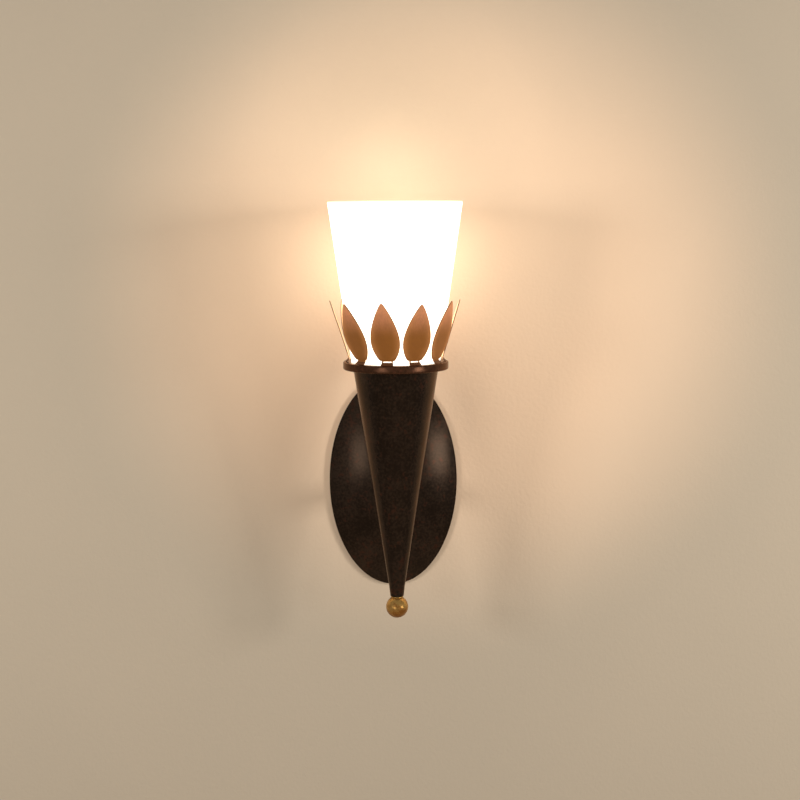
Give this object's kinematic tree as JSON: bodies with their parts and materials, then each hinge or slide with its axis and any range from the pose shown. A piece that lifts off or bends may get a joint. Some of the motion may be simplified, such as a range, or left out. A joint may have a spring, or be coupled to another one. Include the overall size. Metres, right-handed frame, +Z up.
{
  "type": "torch sconce",
  "caption": "Wall light shaped like a torch: lit opal glass shade in a crown of metal leaves on a dark bronze cone, with an oval back plate, short arm and ball finial.",
  "frame": {"origin": "middle of the box screw pattern and of the oval back plate, on the wall plane", "axes": "+Z up along the torch, +Y into the wall, the torch stands in front towards -Y, +X to the right as seen from the room"},
  "size_m": [0.13, 0.1515, 0.4],
  "materials": {
    "dark_bronze": "satin dark bronze with fine rust-red mottling",
    "antique_gold": "antiqued gold, soft polish with darker hollows",
    "leaf_bronze": "brushed antique gold leaf over bronze, darker feet",
    "opal_glass": "satin opal glass, lit from inside",
    "frosted_glass": "frosted bulb glass, lit",
    "clear_glass": "clear",
    "black_glass": "glossy black",
    "white_porcelain": "glossy white glaze",
    "plain_brass": "plain, lightly tarnished",
    "cap_aluminium": "rolled, semi-bright",
    "solder": "dull solder",
    "tungsten": "dark wire",
    "zinc_steel": "zinc plated",
    "green_screw": "green zinc",
    "white_enamel": "white reflector enamel",
    "white_nylon": "natural nylon",
    "grey_gasket": "heat-proof silicone",
    "black_rubber": "matt black",
    "black_lead": "heat-proof sleeve",
    "white_lead": "heat-proof sleeve",
    "green_lead": "heat-proof sleeve"
  },
  "bodies": {
    "root": {"back_plate": "dark_bronze", "mounting_strap": "zinc_steel", "strap_studs": "zinc_steel", "stud_locknuts": "zinc_steel", "cap_nuts": "dark_bronze", "earth_screw": "green_screw", "terminal_block": "white_nylon", "terminal_inserts": "plain_brass", "terminal_screws": "zinc_steel", "block_screw": "zinc_steel", "arm_collar": "dark_bronze", "arm_tube": "dark_bronze", "arm_bush": "plain_brass", "arm_nipple": "zinc_steel", "nipple_washer": "zinc_steel", "nipple_locknut": "zinc_steel", "nipple_bushing": "black_rubber", "wire_grommet": "black_rubber", "torch_cone": "dark_bronze", "crown_ring": "dark_bronze", "shade_pan": "white_enamel", "pan_earth_screw": "zinc_steel", "earth_tags": "zinc_steel", "shade_gasket": "grey_gasket", "centre_rod": "zinc_steel", "rod_washer": "zinc_steel", "rod_nut": "zinc_steel", "lampholder_cap": "white_porcelain", "lampholder_body": "white_porcelain", "lampholder_screws": "plain_brass", "screw_shell": "plain_brass", "centre_contact": "plain_brass", "lead_live": "black_lead", "lead_neutral": "white_lead", "lead_earth": "green_lead", "leaf_01": "leaf_bronze", "leaf_02": "leaf_bronze", "leaf_03": "leaf_bronze", "leaf_04": "leaf_bronze", "leaf_05": "leaf_bronze", "leaf_06": "leaf_bronze", "leaf_07": "leaf_bronze", "leaf_08": "leaf_bronze", "leaf_09": "leaf_bronze", "leaf_10": "leaf_bronze"},
    "shade": {"glass_shade": "opal_glass"},
    "bulb_carrier": {"bulb_tip": "solder"},
    "bulb": {"bulb_insulator": "black_glass", "bulb_cap": "cap_aluminium", "bulb_glass": "frosted_glass", "bulb_stem": "clear_glass", "bulb_filament": "tungsten"},
    "finial_carrier": {"finial_washer": "antique_gold"},
    "finial": {"ball_finial": "antique_gold"}
  },
  "joints": [
    {"name": "shade_lift", "type": "slide", "parent": "root", "child": "shade", "axis": [0, 0, 1], "range_m": [0, 0.16]},
    {"name": "bulb_rise", "type": "slide", "parent": "root", "child": "bulb_carrier", "axis": [0, 0, 1], "range_m": [0, 0.02]},
    {"name": "bulb_turn", "type": "hinge", "parent": "bulb_carrier", "child": "bulb", "pos_m": [0, -0.088, 0.2], "axis": [0, 0, 1], "range_deg": [0, 1980]},
    {"name": "finial_drop", "type": "slide", "parent": "root", "child": "finial_carrier", "axis": [0, 0, -1], "range_m": [0, 0.0101]},
    {"name": "finial_turn", "type": "hinge", "parent": "finial_carrier", "child": "finial", "pos_m": [0, -0.088, -0.1087], "axis": [0, 0, -1], "range_deg": [0, 2880]}
  ],
  "couplings": [
    {"joint": "bulb_rise", "follows": "bulb_turn", "m_per_rad": 0.00057751},
    {"joint": "finial_drop", "follows": "finial_turn", "m_per_rad": 0.00019894}
  ]
}
